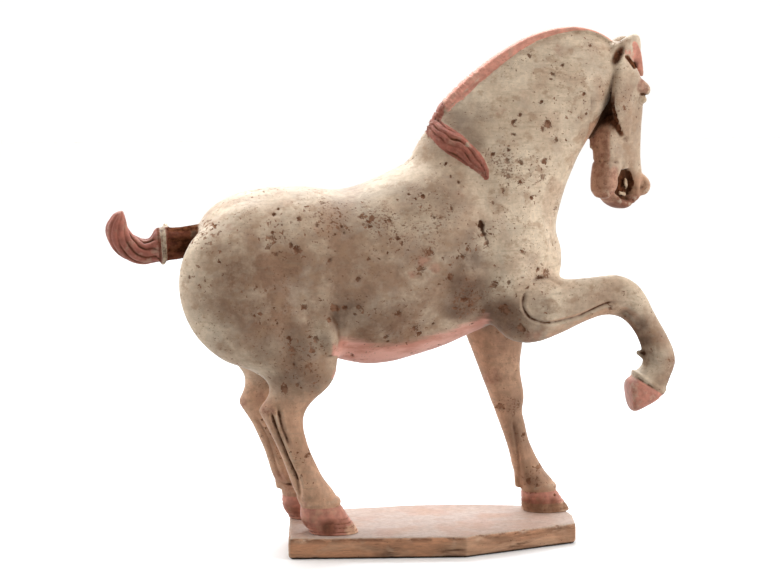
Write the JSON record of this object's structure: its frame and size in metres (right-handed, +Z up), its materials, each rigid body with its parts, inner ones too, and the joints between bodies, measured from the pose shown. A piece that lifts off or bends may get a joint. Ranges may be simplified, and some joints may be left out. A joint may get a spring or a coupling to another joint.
{
  "type": "pottery horse figure",
  "caption": "Painted pottery horse of Tang type, one foreleg raised and head turned away, standing on its own low slab plinth.",
  "frame": {"origin": "middle of the plinth's underside, under the horse's barrel", "axes": "+X towards the horse's head, +Y towards the horse's left, +Z up"},
  "size_m": [0.5624, 0.1571, 0.5178],
  "materials": {
    "slipped_pottery": "matt fired clay with a worn cream slip, traces of red-pink pigment and brown soil stains",
    "bare_pottery": "matt fired clay, pale slip on top, bare tan sides with chips and dark patches"
  },
  "bodies": {
    "root": {"horse": "slipped_pottery", "plinth": "bare_pottery"}
  },
  "joints": []
}
